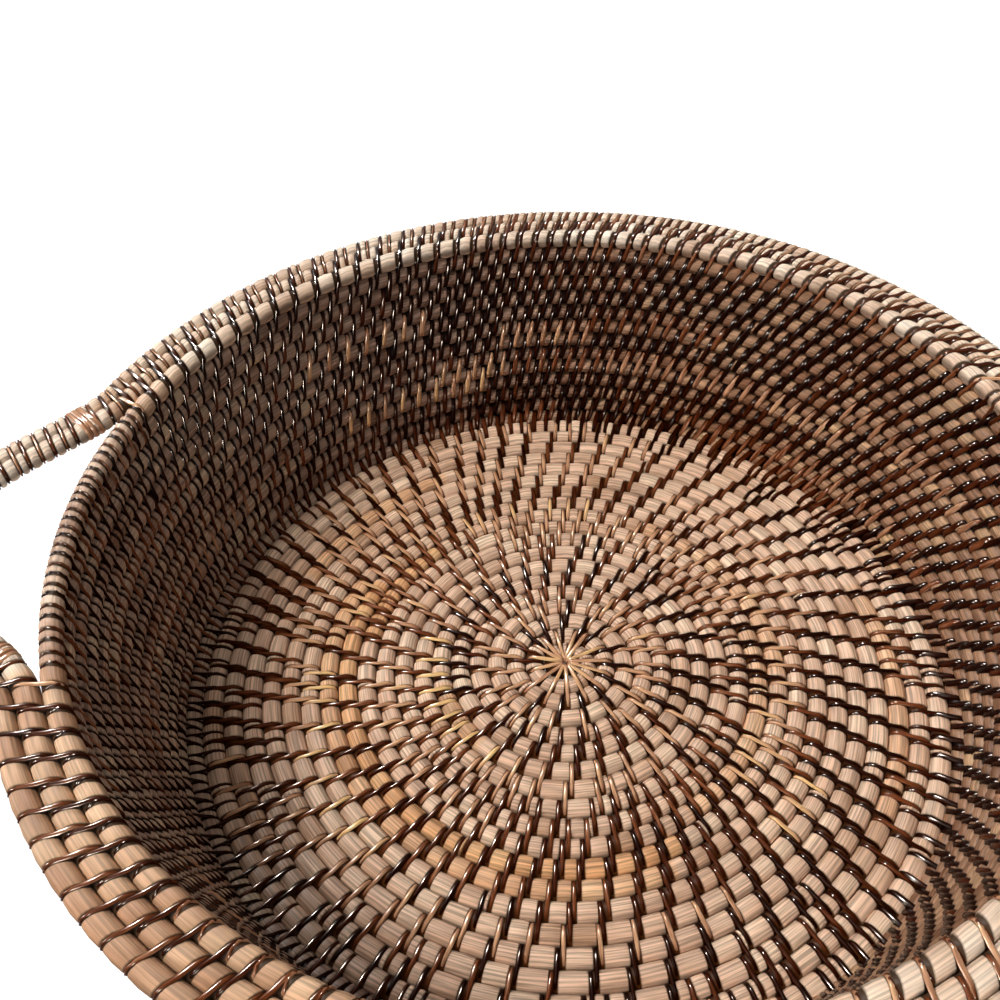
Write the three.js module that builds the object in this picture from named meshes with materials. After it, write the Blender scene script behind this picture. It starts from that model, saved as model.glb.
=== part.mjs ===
// A round coiled cane tray with two loop handles.
// One cane winds outward over the floor and on up the wall, and three rim hoops lie side by side on top of it.
// The middle and outer hoops bow out together at +X and -X as the handles, with a lashing at each handle root.
// Millimetres, +Z up, origin on the surface that the tray stands on, under the middle of the floor.
import * as THREE from "three";

// Floor coil
const floorCane = 7.3;
const floorGap = 0.7;
const floorAcross = 310;
const eyeHole = 1.06;
const eyeTaper = 0.8;
const eyeTaperLoops = 3;
const standCutShare = 0.1;
const coilStart = THREE.MathUtils.degToRad(-165);

// Wall coil
const wallCane = 6.7;
const wallGap = 0.85;
const wallRows = 13;
const wallLean = THREE.MathUtils.degToRad(12);
const cornerRadius = 8;
const cornerEase = 0.2;
const tailShare = 0.2;

// Rim hoops and handles
const rimCane = 7.6;
const rimGap = 0.7;
const handleReach = 39;
const handleSpan = 150;

// Lashings at the handle roots
const lashingWidth = 2.2;
const lashingThickness = 1;
const lashingGap = 0.7;
const lashingLoops = 2;
const lashingRoom = 5.5;
const seatGap = 0.4;

// Places and fineness of the canes
const stepUpAngle = THREE.MathUtils.degToRad(-90);
const hoopStagger = THREE.MathUtils.degToRad(15);
const buttGap = 0.5;
const loopSteps = 24;
const stepUpSteps = 2;
const tailSteps = 3;
const eyeLoops = 5;
const handleSteps = 12;
const bendSteps = 4;
const gapSamples = 4;

// Finishes
const floorColour = 0xa9876f;
const wallColour = 0x7c5c48;
const rimColour = 0xb08a6c;
const lashingColour = 0xc08a55;
const caneRoughness = 0.6;
const stripRoughness = 0.45;

// Sizes that follow from these
const fullTurn = 2 * Math.PI;
const stepAngle = fullTurn / loopSteps;
const floorPitch = floorCane + floorGap;
const wallPitch = wallCane + wallGap;
const rimPitch = rimCane + rimGap;
const floorAxis = floorCane * (0.5 - standCutShare);
const coilStartRadius = floorCane / 2 + eyeHole;
const lastPartTurn = (coilStart - stepUpAngle + fullTurn) / fullTurn;
const floorLoops = Math.round((floorAcross / 2 - coilStartRadius) / floorPitch - (lastPartTurn % 1));
const floorTurns = floorLoops + (lastPartTurn % 1);
const floorRadius = coilStartRadius + floorPitch * floorTurns;
const firstRowStep = (floorCane - wallCane) / 2 + cornerEase + wallGap - floorGap;
const topRowStep = firstRowStep + wallPitch * (wallRows - 0.5);
const rimHalfHeight = (rimCane / 2) * Math.sin(Math.PI / 3);
const rimStep = topRowStep + wallCane / 2 + rimGap + rimHalfHeight;
const rimFoot = wallProfile(rimStep);
const handleRow = 1.5;
const handleMiddle = rimFoot.r + handleRow * rimPitch;
const handleHalfAngle = Math.asin(handleSpan / 2 / handleMiddle);

// Section of a cane: six even corners on its circle, the first one turned up from the side
function caneSection(diameter, turned) {
  const corners = [];
  for (let k = 0; k < 6; k += 1) {
    const angle = turned + (k * Math.PI) / 3;
    corners.push([(diameter / 2) * Math.cos(angle), (diameter / 2) * Math.sin(angle)]);
  }
  return corners;
}

// Section of the floor cane: its two lower corners lie where a flat cut to stand on meets its circle
function floorSection(diameter) {
  const radius = diameter / 2;
  const low = radius - diameter * standCutShare;
  const lowHalf = Math.sqrt(radius * radius - low * low);
  return [...caneSection(diameter, 0).slice(0, 4), [-lowHalf, -low], [lowHalf, -low]];
}

// One section of a tube: its corners about a centre, with out x up pointing along the tube
function ring(centre, out, up, section) {
  return section.map(([x, y]) => centre.clone().addScaledVector(out, x).addScaledVector(up, y));
}

// A closed tube through a row of sections
function tube(name, rings, color, roughness) {
  const sides = rings[0].length;
  const corners = rings.flat().flatMap((corner) => corner.toArray());
  const faces = [];
  const last = (rings.length - 1) * sides;
  for (let i = 0; i + 1 < rings.length; i += 1) {
    for (let k = 0; k < sides; k += 1) {
      const a = i * sides + k;
      const b = i * sides + ((k + 1) % sides);
      faces.push(a, b, b + sides, a, b + sides, a + sides);
    }
  }
  for (let k = 1; k + 1 < sides; k += 1) {
    faces.push(0, k + 1, k, last, last + k, last + k + 1);
  }
  const geometry = new THREE.BufferGeometry();
  geometry.setAttribute("position", new THREE.Float32BufferAttribute(corners, 3));
  geometry.setIndex(faces);
  geometry.computeVertexNormals();
  const material = new THREE.MeshStandardMaterial({ color, roughness, metalness: 0 });
  const mesh = new THREE.Mesh(geometry, material);
  mesh.name = name;
  return mesh;
}

function polar(radius, angle, height) {
  return new THREE.Vector3(radius * Math.cos(angle), radius * Math.sin(angle), height);
}

// A length of coil: each place gives its middle, its angle, its diameter and its section across the cane
function coil(name, places, color) {
  const up = new THREE.Vector3(0, 0, 1);
  const rings = places.map((place) => ring(place.at, polar(1, place.angle, 0), up, place.section));
  printLeastGap(name, places);
  return tube(name, rings, color, caneRoughness);
}

// Least clear distance between the loops of one winding, measured on points along its straight steps
function printLeastGap(name, places) {
  const points = [];
  for (let i = 0; i + 1 < places.length; i += 1) {
    const from = places[i];
    const to = places[i + 1];
    for (let k = 0; k < gapSamples; k += 1) {
      const share = k / gapSamples;
      const angle = THREE.MathUtils.lerp(from.angle, to.angle, share);
      const radius = THREE.MathUtils.lerp(from.diameter, to.diameter, share) / 2;
      points.push({ at: from.at.clone().lerp(to.at, share), angle, radius });
    }
  }
  let least = Infinity;
  for (let i = 0; i < points.length; i += 1) {
    for (let j = i + 1; j < points.length; j += 1) {
      if (points[i].angle - points[j].angle > fullTurn / 2) {
        const clear = points[i].at.distanceTo(points[j].at) - points[i].radius - points[j].radius;
        least = Math.min(least, clear);
      }
    }
  }
  const turns = (places[0].angle - places.at(-1).angle) / fullTurn;
  console.log(`${name}: ${turns.toFixed(2)} turns, least gap to itself ${least.toFixed(2)} mm`);
}

// Floor: a steady flat spiral, clockwise seen from above, thinner and coarser in the loops round the eye
function floorPlace(turn, shift) {
  const diameter = floorCane * Math.min(THREE.MathUtils.lerp(eyeTaper, 1, turn / eyeTaperLoops), 1);
  const r = coilStartRadius + floorPitch * turn;
  const angle = coilStart - fullTurn * turn + shift;
  return { at: polar(r, angle, floorAxis), angle, diameter, section: floorSection(diameter) };
}

function floorPlaces() {
  const places = [];
  const lastTurn = floorTurns - 0.5 / loopSteps;
  let turn = 0;
  while (turn < lastTurn) {
    places.push(floorPlace(turn, 0));
    turn += (turn < eyeLoops ? 2 : 1) / loopSteps;
  }
  places.push(floorPlace(floorTurns, buttGap / 2 / floorRadius));
  return places;
}

// Line of the cane middles up the wall: a round corner at the floor, then straight and leaning out
function wallProfile(step) {
  const cornerTurn = Math.PI / 2 - wallLean;
  const turned = Math.min(step / cornerRadius, cornerTurn);
  const straight = Math.max(step - cornerRadius * cornerTurn, 0);
  const r = floorRadius + cornerRadius * Math.sin(turned) + straight * Math.sin(wallLean);
  const z = floorAxis + cornerRadius * (1 - Math.cos(turned)) + straight * Math.cos(wallLean);
  return { r, z };
}

// Lead or lag of a level row over a steady climb, which turns back within a few steps of the step-up
function levelling(turn) {
  const stepUp = stepUpSteps / loopSteps;
  const part = turn - Math.floor(turn);
  const peak = 0.5 - stepUp;
  if (part < stepUp) return (peak * part) / stepUp;
  if (part > 1 - stepUp) return (-peak * (1 - part)) / stepUp;
  return 0.5 - part;
}

// Wall: the coil climbs steadily at first and row by row towards the level rim; its tail tapers under the rim
function wallPlace(turn, shift) {
  const tailStart = wallRows - stepUpSteps / loopSteps;
  const inTail = Math.max(((turn - tailStart) * loopSteps) / tailSteps, 0);
  const diameter = wallCane * THREE.MathUtils.lerp(1, tailShare, inTail);
  const level = THREE.MathUtils.clamp((turn - 1) / (wallRows - 2), 0, 1);
  const climb = firstRowStep + wallPitch * (turn + level * levelling(turn));
  const { r, z } = wallProfile(inTail > 0 ? topRowStep + (wallCane - diameter) / 2 : climb);
  const angle = stepUpAngle - fullTurn * turn + shift;
  return { at: polar(r, angle, z), angle, diameter, section: caneSection(diameter, Math.PI / 6) };
}

function wallPlaces(first, last) {
  const places = [];
  const halfGap = buttGap / 2 / floorRadius;
  for (let i = first; i <= last; i += 1) {
    const shift = i === first ? -halfGap : i === last ? halfGap : 0;
    places.push(wallPlace(i / loopSteps, shift));
  }
  return places;
}

// Rim line between the middle and outer hoops: a circle that swells smoothly into a handle at +X and -X
function rimLine(angle) {
  const offAxis = Math.asin(Math.sin(angle));
  const inHandle = Math.abs(offAxis) < handleHalfAngle;
  const wave = (Math.PI * offAxis) / handleHalfAngle;
  const swell = inHandle ? (handleReach * (1 + Math.cos(wave))) / 2 : 0;
  const facing = Math.sign(Math.cos(angle));
  const slope = inHandle ? (-handleReach * Math.PI * Math.sin(wave) * facing) / (2 * handleHalfAngle) : 0;
  const r = handleMiddle + swell;
  const along = polar(-slope, angle, 0).add(polar(-r, angle + Math.PI / 2, 0)).normalize();
  const out = new THREE.Vector3(-along.y, along.x, 0);
  return { at: polar(r, angle, rimFoot.z), along, out, anglePerLength: 1 / Math.hypot(r, slope) };
}

// Angles of a hoop's sections, once round clockwise from its butt joint, closer together in the handles
function hoopAngles(start, bowed) {
  const angles = [];
  for (let i = 1; i < loopSteps; i += 1) {
    const angle = start - i * stepAngle;
    const clear = Math.abs(Math.asin(Math.sin(angle))) > handleHalfAngle;
    if (clear || !bowed) angles.push(angle);
  }
  for (const middle of bowed ? [-Math.PI, -fullTurn] : []) {
    for (let i = 0; i <= handleSteps; i += 1) {
      angles.push(middle + handleHalfAngle * ((2 * i) / handleSteps - 1));
    }
  }
  const halfGap = buttGap / 2 / handleMiddle;
  angles.push(start - halfGap, start - fullTurn + halfGap);
  return angles.sort((a, b) => b - a);
}

// A rim hoop, set off sideways from the rim line; only the two outer hoops bow into the handles
function rimHoop(name, row, color) {
  const bowed = row > 0;
  const start = stepUpAngle + hoopStagger * (row - 1);
  const up = new THREE.Vector3(0, 0, 1);
  const section = caneSection(rimCane, 0);
  const rings = hoopAngles(start, bowed).map((angle) => {
    if (!bowed) return ring(polar(rimFoot.r, angle, rimFoot.z), polar(1, angle, 0), up, section);
    const line = rimLine(angle);
    return ring(line.at.addScaledVector(line.out, (row - handleRow) * rimPitch), line.out, up, section);
  });
  return tube(name, rings, color, caneRoughness);
}

// A lashing: a flat strip wound round the two handle canes where they leave the inner hoop
function lashing(name, handleAngle, side, color) {
  const rootShare = Math.acos((2 * lashingRoom) / handleReach - 1) / Math.PI;
  const rootAngle = handleAngle + side * handleHalfAngle * rootShare;
  const { anglePerLength } = rimLine(rootAngle);
  const up = new THREE.Vector3(0, 0, 1);
  const wrapRadius = rimCane / 2 + seatGap + lashingThickness / 2;
  const lashingPitch = lashingWidth + lashingGap;
  const wide = lashingWidth / 2;
  const thick = lashingThickness / 2;
  const section = [[thick, wide], [-thick, wide], [-thick, -wide], [thick, -wide]];
  const places = [];
  for (let bend = 0; bend < 2 * lashingLoops; bend += 1) {
    for (let k = 0; k <= bendSteps; k += 1) {
      const swing = Math.PI * (bend - 0.5 + k / bendSteps);
      const travel = lashingPitch * ((bend + k / bendSteps) / 2 - lashingLoops / 2);
      const { at, along, out } = rimLine(rootAngle - travel * anglePerLength);
      const facing = out.clone().multiplyScalar(Math.cos(swing)).addScaledVector(up, Math.sin(swing));
      const cane = at.addScaledVector(out, (bend % 2 ? -0.5 : 0.5) * rimPitch);
      const middle = cane.addScaledVector(facing, wrapRadius);
      places.push({ at: middle, angle: -swing, diameter: lashingWidth, facing, side: along.negate() });
    }
  }
  printLeastGap(name, places);
  const rings = places.map((place) => ring(place.at, place.facing, place.side, section));
  return tube(name, rings, color, stripRoughness);
}

const tray = new THREE.Group();
tray.name = "coiled_tray";
tray.add(coil("floor_coil", floorPlaces(), floorColour));

const wallNames = ["wall_coil_lower", "wall_coil_middle", "wall_coil_upper"];
const wallSteps = wallRows * loopSteps - stepUpSteps + tailSteps;
wallNames.forEach((name, i) => {
  const first = Math.round((wallSteps * i) / wallNames.length);
  const last = Math.round((wallSteps * (i + 1)) / wallNames.length);
  tray.add(coil(name, wallPlaces(first, last), wallColour));
});

["rim_hoop_inner", "rim_hoop_middle", "rim_hoop_outer"].forEach((name, row) => {
  tray.add(rimHoop(name, row, rimColour));
});

for (const [end, handleAngle] of [["left", Math.PI], ["right", 0]]) {
  for (const [half, side] of [["front", -1], ["back", 1]]) {
    const turned = end === "left" ? -side : side;
    tray.add(lashing(`lashing_${end}_${half}`, handleAngle, turned, lashingColour));
  }
}

export default tray;
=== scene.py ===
import math

import bmesh
import bpy
import numpy as np
from mathutils import Matrix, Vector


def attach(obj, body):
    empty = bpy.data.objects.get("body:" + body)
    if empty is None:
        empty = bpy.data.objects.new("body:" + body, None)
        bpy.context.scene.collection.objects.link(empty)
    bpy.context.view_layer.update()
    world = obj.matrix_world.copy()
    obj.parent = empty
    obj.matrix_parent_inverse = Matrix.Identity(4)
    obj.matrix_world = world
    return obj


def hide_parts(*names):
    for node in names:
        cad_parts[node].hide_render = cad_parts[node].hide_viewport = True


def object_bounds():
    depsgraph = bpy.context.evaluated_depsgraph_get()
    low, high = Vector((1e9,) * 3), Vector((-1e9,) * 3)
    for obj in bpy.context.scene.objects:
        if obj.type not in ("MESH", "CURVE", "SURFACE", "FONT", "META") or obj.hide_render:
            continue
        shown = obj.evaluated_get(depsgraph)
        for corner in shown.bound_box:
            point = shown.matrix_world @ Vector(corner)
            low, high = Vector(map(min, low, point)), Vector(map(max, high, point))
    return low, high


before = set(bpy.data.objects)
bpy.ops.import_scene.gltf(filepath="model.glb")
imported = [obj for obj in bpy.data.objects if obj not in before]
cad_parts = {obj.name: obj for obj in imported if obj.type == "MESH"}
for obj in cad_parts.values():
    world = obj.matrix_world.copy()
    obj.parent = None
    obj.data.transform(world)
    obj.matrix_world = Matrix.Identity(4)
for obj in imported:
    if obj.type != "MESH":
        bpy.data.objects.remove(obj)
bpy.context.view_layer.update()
dice = np.random.default_rng(7)

# Round coiled cane tray: the cores lie on the same lines as the solids, and every stitch is
# a closed strip of split cane of its own

# Sizes of the solids, in metres
MM = 0.001
FLOOR_CANE = 7.3 * MM
FLOOR_PITCH = 8.0 * MM
EYE_HOLE = 1.06 * MM
FLOOR_LOOPS = 18
STAND_CUT = 0.1
COIL_START = math.radians(-165)
STEP_UP = math.radians(-90)
WALL_CANE = 6.7 * MM
WALL_GAP = 0.85 * MM
WALL_PITCH = WALL_CANE + WALL_GAP
WALL_ROWS = 13
WALL_LEAN = math.radians(12)
CORNER_RADIUS = 8 * MM
CORNER_EASE = 0.2 * MM
RIM_CANE = 7.6 * MM
RIM_GAP = 0.7 * MM
RIM_PITCH = RIM_CANE + RIM_GAP
HANDLE_REACH = 39 * MM
HANDLE_SPAN = 150 * MM
LASHING_ROOM = 5.5 * MM
HOOP_STAGGER = math.radians(15)
LEVEL_SHARE = 2 / 24
FULL_TURN = 2 * math.pi

# Sizes that follow from these
FLOOR_AXIS = FLOOR_CANE * (0.5 - STAND_CUT)
COIL_START_RADIUS = FLOOR_CANE / 2 + EYE_HOLE
FLOOR_TURNS = FLOOR_LOOPS + ((COIL_START - STEP_UP) / FULL_TURN) % 1
COIL_TURNS = FLOOR_TURNS + WALL_ROWS
FLOOR_RADIUS = COIL_START_RADIUS + FLOOR_PITCH * FLOOR_TURNS
FIRST_ROW_STEP = ((FLOOR_CANE - WALL_CANE) / 2 + CORNER_EASE + WALL_PITCH - WALL_CANE - FLOOR_PITCH
                  + FLOOR_CANE)
TOP_ROW_STEP = FIRST_ROW_STEP + WALL_PITCH * (WALL_ROWS - 0.5)
RIM_STEP = TOP_ROW_STEP + WALL_CANE / 2 + RIM_GAP + RIM_CANE / 2 * math.sin(math.pi / 3)

# Strips of split cane: widths, thickness and how far a strip may roll
STRIP_WIDTH = 1.6 * MM
STRIP_THICK = 0.6 * MM
STRIP_ROLL = 0.15
RIM_STRIP = 1.7 * MM
GAP_STRIP = 1.0 * MM
PALE_STRIP = 0.8 * MM
LASHING_STRIP = 2.2 * MM
WRAP_STRIPS = (1.2 * MM, 0.9 * MM)

# How the strips stand: how far apart, how far beside the one before, how far they slant and stray, and
# how far a floor strip moves over to even out its neighbours
EYE_STRIPS = 15
FLOOR_SPACING = 10.4 * MM
FLOOR_SPREAD = 110 * MM
FLOOR_BESIDE = 2.2 * MM
FLOOR_SLANT = 0.3 * MM
FLOOR_STRAY = 0.25 * MM
EVENING_SHARE = 0.2
EVENING_LEAST = -0.2 * MM
EVENING_MOST = 1.2 * MM
WALL_COLUMNS = 120
WALL_LEAD = 0.56
WALL_STRAY = 0.3 * MM
WALL_LEAST_LEAN = 0.8 * MM
RIM_SLANT = 2.8 * MM
RIM_BESIDE = 1.7 * MM
GAP_SLANT = 1.0 * MM
PALE_BESIDE = 4.2 * MM
WRAP_SPACING = 4.9 * MM
WRAP_SLANT = 1.6 * MM

# How far the strips stand off: round the eye, at their start on floor and wall, and in a lashing
EYE_REACH = 0.9 * MM
EYE_BEND = 1.7 * MM
FLOOR_LIFT = 0.25 * MM
WALL_LIFT = 0.35 * MM
LASHING_LIFT = 0.3 * MM

# How far the strips sink between their two canes, and the share of their width that pinches the core
FLOOR_DIP = 0.03
WALL_DIP = 0.04
RIM_DIP = 0.1
FLOOR_COVER = 1.05
WALL_COVER = 0.85
RIM_COVER = 0.95

# Blocks of core between the strips: radius, share of it under a strip, how abruptly a block ends,
# and how bright its sides stay under the painted shade towards the next rows
FLOOR_BLOCK = (3.82 * MM, 0.82, 0.6, 0.5)
WALL_BLOCK = (3.66 * MM, 0.84, 0.55, 0.6)
RIM_BLOCK = (4.0 * MM, 0.86, 0.55, 0.5)
BLOCK_LEAST = 1.2 * MM
BLOCK_LONG = 11.5 * MM
BLOCK_STEP = 4 * MM
BLOCK_ENDS = (0, 0.15 * MM, 0.5 * MM)
BLOCK_FOOT = 0.05 * MM
GROOVE_WIDTH = 0.3 * MM

# Section of a core: its sides, the powers that point them when pinched and square them when puffed,
# and how flat the floor's underside is
COIL_SIDES = 12
HOOP_SIDES = 14
POINTED = 1.7
SQUARED = 0.95
FLOOR_FLAT = 0.55

# How the wall's stitches stand, by angle: how far apart, how far beside the one under it each one
# starts, and how wide they are, in mm
WALL_LAY = np.array([
    (0, 11, 2.8, 2.7), (18, 9, 2.4, 2.5), (35, 8.3, 2.25, 2.4), (60, 8.5, 2.25, 2.4),
    (78, 7.2, 2.2, 2.2), (97, 6.9, 2.2, 2.2), (110, 9.4, 3.6, 2.4), (130, 10.5, 3.6, 2.0),
    (148, 10, 3.4, 1.5), (163, 8, 3.2, 1.25), (184, 8, 3.3, 1.2), (195, 9.6, 3.9, 1.2),
    (215, 8.3, 3.3, 1.2), (250, 8.6, 3.0, 1.4), (310, 9.5, 2.8, 2.2), (360, 11, 2.8, 2.5),
])


def polar(radius, angle, height):
    return np.stack([radius * np.cos(angle), radius * np.sin(angle), height + 0 * angle], axis=-1)


def wall_profile(step):
    """Radius and height of the cane middles up the wall: a round corner, then a lean outwards."""
    corner = math.pi / 2 - WALL_LEAN
    turned = np.minimum(step / CORNER_RADIUS, corner)
    straight = np.maximum(step - CORNER_RADIUS * corner, 0)
    radius = FLOOR_RADIUS + CORNER_RADIUS * np.sin(turned) + straight * math.sin(WALL_LEAN)
    height = FLOOR_AXIS + CORNER_RADIUS * (1 - np.cos(turned)) + straight * math.cos(WALL_LEAN)
    return radius, height


def levelling(turn):
    """How far a level row leads or lags a steady climb, turning back near the step-up."""
    part = turn - np.floor(turn)
    peak = 0.5 - LEVEL_SHARE
    lead = np.where(part < LEVEL_SHARE, peak * part / LEVEL_SHARE, 0.5 - part)
    return np.where(part > 1 - LEVEL_SHARE, -peak * (1 - part) / LEVEL_SHARE, lead)


def coil_line(turn):
    """Middle of the one long coil, counted in turns from the eye: radius, angle and height."""
    turn = np.asarray(turn, float)
    up = np.maximum(turn - FLOOR_TURNS, 0)
    level = np.clip((up - 1) / (WALL_ROWS - 2), 0, 1)
    climb = FIRST_ROW_STEP + WALL_PITCH * (up + level * levelling(up))
    wall_r, wall_z = wall_profile(np.minimum(climb, TOP_ROW_STEP))
    on_floor = turn < FLOOR_TURNS
    radius = np.where(on_floor, COIL_START_RADIUS + FLOOR_PITCH * turn, wall_r)
    height = np.where(on_floor, FLOOR_AXIS, wall_z)
    return radius, COIL_START - FULL_TURN * turn, height


RIM_RADIUS, RIM_HEIGHT = (float(x) for x in wall_profile(RIM_STEP))
HANDLE_MIDDLE = RIM_RADIUS + 1.5 * RIM_PITCH
HANDLE_HALF = math.asin(HANDLE_SPAN / 2 / HANDLE_MIDDLE)


def rim_line(angle, row):
    """Middle of a rim hoop and its way out: row 0 is round, rows 1 and 2 bow into the handles."""
    angle = np.asarray(angle, float)
    if row == 0:
        return polar(RIM_RADIUS, angle, RIM_HEIGHT), polar(1, angle, 0)
    off = np.arcsin(np.sin(angle))
    inside = np.abs(off) < HANDLE_HALF
    wave = math.pi * off / HANDLE_HALF
    swell = np.where(inside, HANDLE_REACH * (1 + np.cos(wave)) / 2, 0)
    facing = np.sign(np.cos(angle))
    slope = np.where(inside, -HANDLE_REACH * math.pi * np.sin(wave) * facing / (2 * HANDLE_HALF), 0)
    radius = HANDLE_MIDDLE + swell
    along = (-slope[..., None] * polar(1, angle, 0)
             - radius[..., None] * polar(1, angle + math.pi / 2, 0))
    along /= np.linalg.norm(along, axis=-1, keepdims=True)
    out = np.stack([-along[..., 1], along[..., 0], 0 * angle], axis=-1)
    return polar(radius, angle, RIM_HEIGHT) + (row - 1.5) * RIM_PITCH * out, out


# Meshes

def finish_mesh(name, bm, material, stands_for):
    """A piece of the tray in its place, standing for the solids it is drawn over."""
    mesh = bpy.data.meshes.new(name)
    bm.to_mesh(mesh)
    bm.free()
    mesh.polygons.foreach_set("use_smooth", np.ones(len(mesh.polygons), bool))
    mesh.materials.append(material)
    piece = bpy.data.objects.new(name, mesh)
    bpy.context.scene.collection.objects.link(piece)
    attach(piece, "root")
    if stands_for:
        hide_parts(*stands_for)


def lay_grid(rows, columns, places, along, across, values):
    """A grid of faces on given places, with a UV map in metres and named values on its points."""
    bm = bmesh.new()
    bmesh.ops.create_grid(bm, x_segments=columns - 1, y_segments=rows - 1, size=1)
    mesh = bpy.data.meshes.new("laid")
    bm.to_mesh(mesh)
    bm.free()
    mesh.vertices.foreach_set("co", np.ascontiguousarray(places, np.float32).ravel())
    corner = np.zeros(len(mesh.loops), np.int32)
    mesh.loops.foreach_get("vertex_index", corner)
    uv = np.stack([along.ravel()[corner], across.ravel()[corner]], axis=-1)
    mesh.uv_layers.new(name="cane").data.foreach_set("uv", uv.astype(np.float32).ravel())
    for name, value in values.items():
        layer = mesh.attributes.new(name, "FLOAT", "POINT")
        layer.data.foreach_set("value", np.ascontiguousarray(value, np.float32).ravel())
    bm = bmesh.new()
    bm.from_mesh(mesh)
    bpy.data.meshes.remove(mesh)
    return bm


def weld(bm):
    """Joins the seams, closes the ends and turns the faces outwards."""
    bmesh.ops.remove_doubles(bm, verts=bm.verts, dist=1e-7)
    ends = [edge for edge in bm.edges if edge.is_boundary]
    bmesh.ops.holes_fill(bm, edges=ends, sides=0)
    bmesh.ops.recalc_face_normals(bm, faces=bm.faces)
    return bm


def ring_places(start, end, crossings, widths):
    """Where a core gets its sections: beside each strip and in the middle of each block."""
    inside = (crossings > start) & (crossings < end)
    edges = np.concatenate([[start], crossings[inside], [end]])
    margins = np.concatenate([[0], widths[inside] / 2, [0]])
    begin = edges[:-1] + margins[:-1]
    stop = edges[1:] - margins[1:]
    places = [[start, end], (begin + stop) / 2]
    blocks = stop - begin > BLOCK_LEAST
    for off in BLOCK_ENDS:
        places += [begin[blocks] + off, stop[blocks] - off]
    long = stop - begin > BLOCK_LONG
    for a, b in zip(begin[long], stop[long]):
        places.append(np.linspace(a + MM, b - MM, int((b - a) / BLOCK_STEP) + 1))
    return np.unique(np.concatenate(places))


def smooth(x):
    x = np.clip(x, 0, 1)
    return x * x * (3 - 2 * x)


def core(name, lie, along, crossings, widths, block, sides, taper, flat, material, stands_for):
    """A rattan core: full width between its neighbours, puffed between strips, pinched under them."""
    middle, across, face, near, far, near_free, far_free, gold, fair, lean = lie
    radius, pinch, abrupt, painted_side_level = block
    number = np.clip(np.searchsorted(crossings, along), 1, len(crossings) - 1)
    begin = (crossings + widths / 2)[number - 1]
    stop = (crossings - widths / 2)[number]
    apart = np.where(stop - begin > BLOCK_LEAST, np.minimum(along - begin, stop - along), 0)
    inward = np.clip(2 * apart / np.maximum(stop - begin, MM), 0, 1)
    puff = np.where(apart > BLOCK_FOOT, abrupt + (1 - abrupt) * (1 - (1 - inward) ** 2), 0)[:, None]
    half = radius * (pinch + (1 - pinch) * puff) * taper[:, None]
    turn = np.linspace(0, FULL_TURN, sides + 1)[None, :]
    shape = np.ones((len(along), sides + 1))
    rise = np.sin(turn) * half
    rise = np.where(rise < 0, rise * flat, rise)
    near = near[:, None] * (1 - near_free[:, None]) + half * near_free[:, None]
    far = far[:, None] * (1 - far_free[:, None]) + half * far_free[:, None]
    aside = np.abs(np.cos(turn)) ** (POINTED - SQUARED * puff) * np.sign(np.cos(turn))
    reach = aside * np.where(aside > 0, far, near)
    reach[:, -1] = reach[:, 0]
    rise[:, -1] = rise[:, 0]
    places = middle[:, None, :] + across[:, None, :] * reach[..., None]
    places = places + face[:, None, :] * rise[..., None]
    places += np.cross(across, face)[:, None, :] * (lean[:, None] * reach)[..., None]
    shades = dice.normal(0, 1, len(crossings) + 1)[number]
    # Painted shade: the core takes the groove colour beside the strips and on its sides towards the
    # next rows
    crown = painted_side_level + (1 - painted_side_level) * smooth(1.5 * np.abs(np.sin(turn)))
    values = {
        "shade": (shades + fair)[:, None] * shape,
        "gold": gold[:, None] * shape,
        "open": smooth(apart / GROOVE_WIDTH)[:, None] * crown,
    }
    bm = lay_grid(len(along), sides + 1, places, along[:, None] * shape, reach, values)
    finish_mesh(name, weld(bm), material, stands_for)


# A stitch goes over one cane and the next and back under both, closed on itself, and narrows where
# it dives: share of the way to the next cane, degrees round it, and share of the width
STATIONS = [
    (0, 180, 0.55), (0, 135, 0.8), (0, 90, 1), (0.5, 90, 1.06), (1, 90, 0.9), (1, 45, 0.65),
    (1, 0, 0.45), (1, -45, 0.7), (1, -90, 1), (0.5, -90, 1), (0, -90, 1), (0, -135, 0.75),
]
TAIL_FROM = 100
# How much darker a strip is painted where it narrows to dive between the canes: painted shade
DIVE_SHADE = 0.4
PATTERN_ROOM = 9
STRIP_SECTION = [(-0.5, -0.5), (-0.4, 0.2), (0, 0.5), (0.4, 0.2), (0.5, -0.5)]
STRIP_EDGES = (0, 4, 5)


def crease(bm, across):
    """Keeps the two long edges of a strip's back sharp."""
    for edge in bm.edges:
        a, b = (vert.index % across for vert in edge.verts)
        edge.smooth = a != b or a not in STRIP_EDGES


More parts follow.
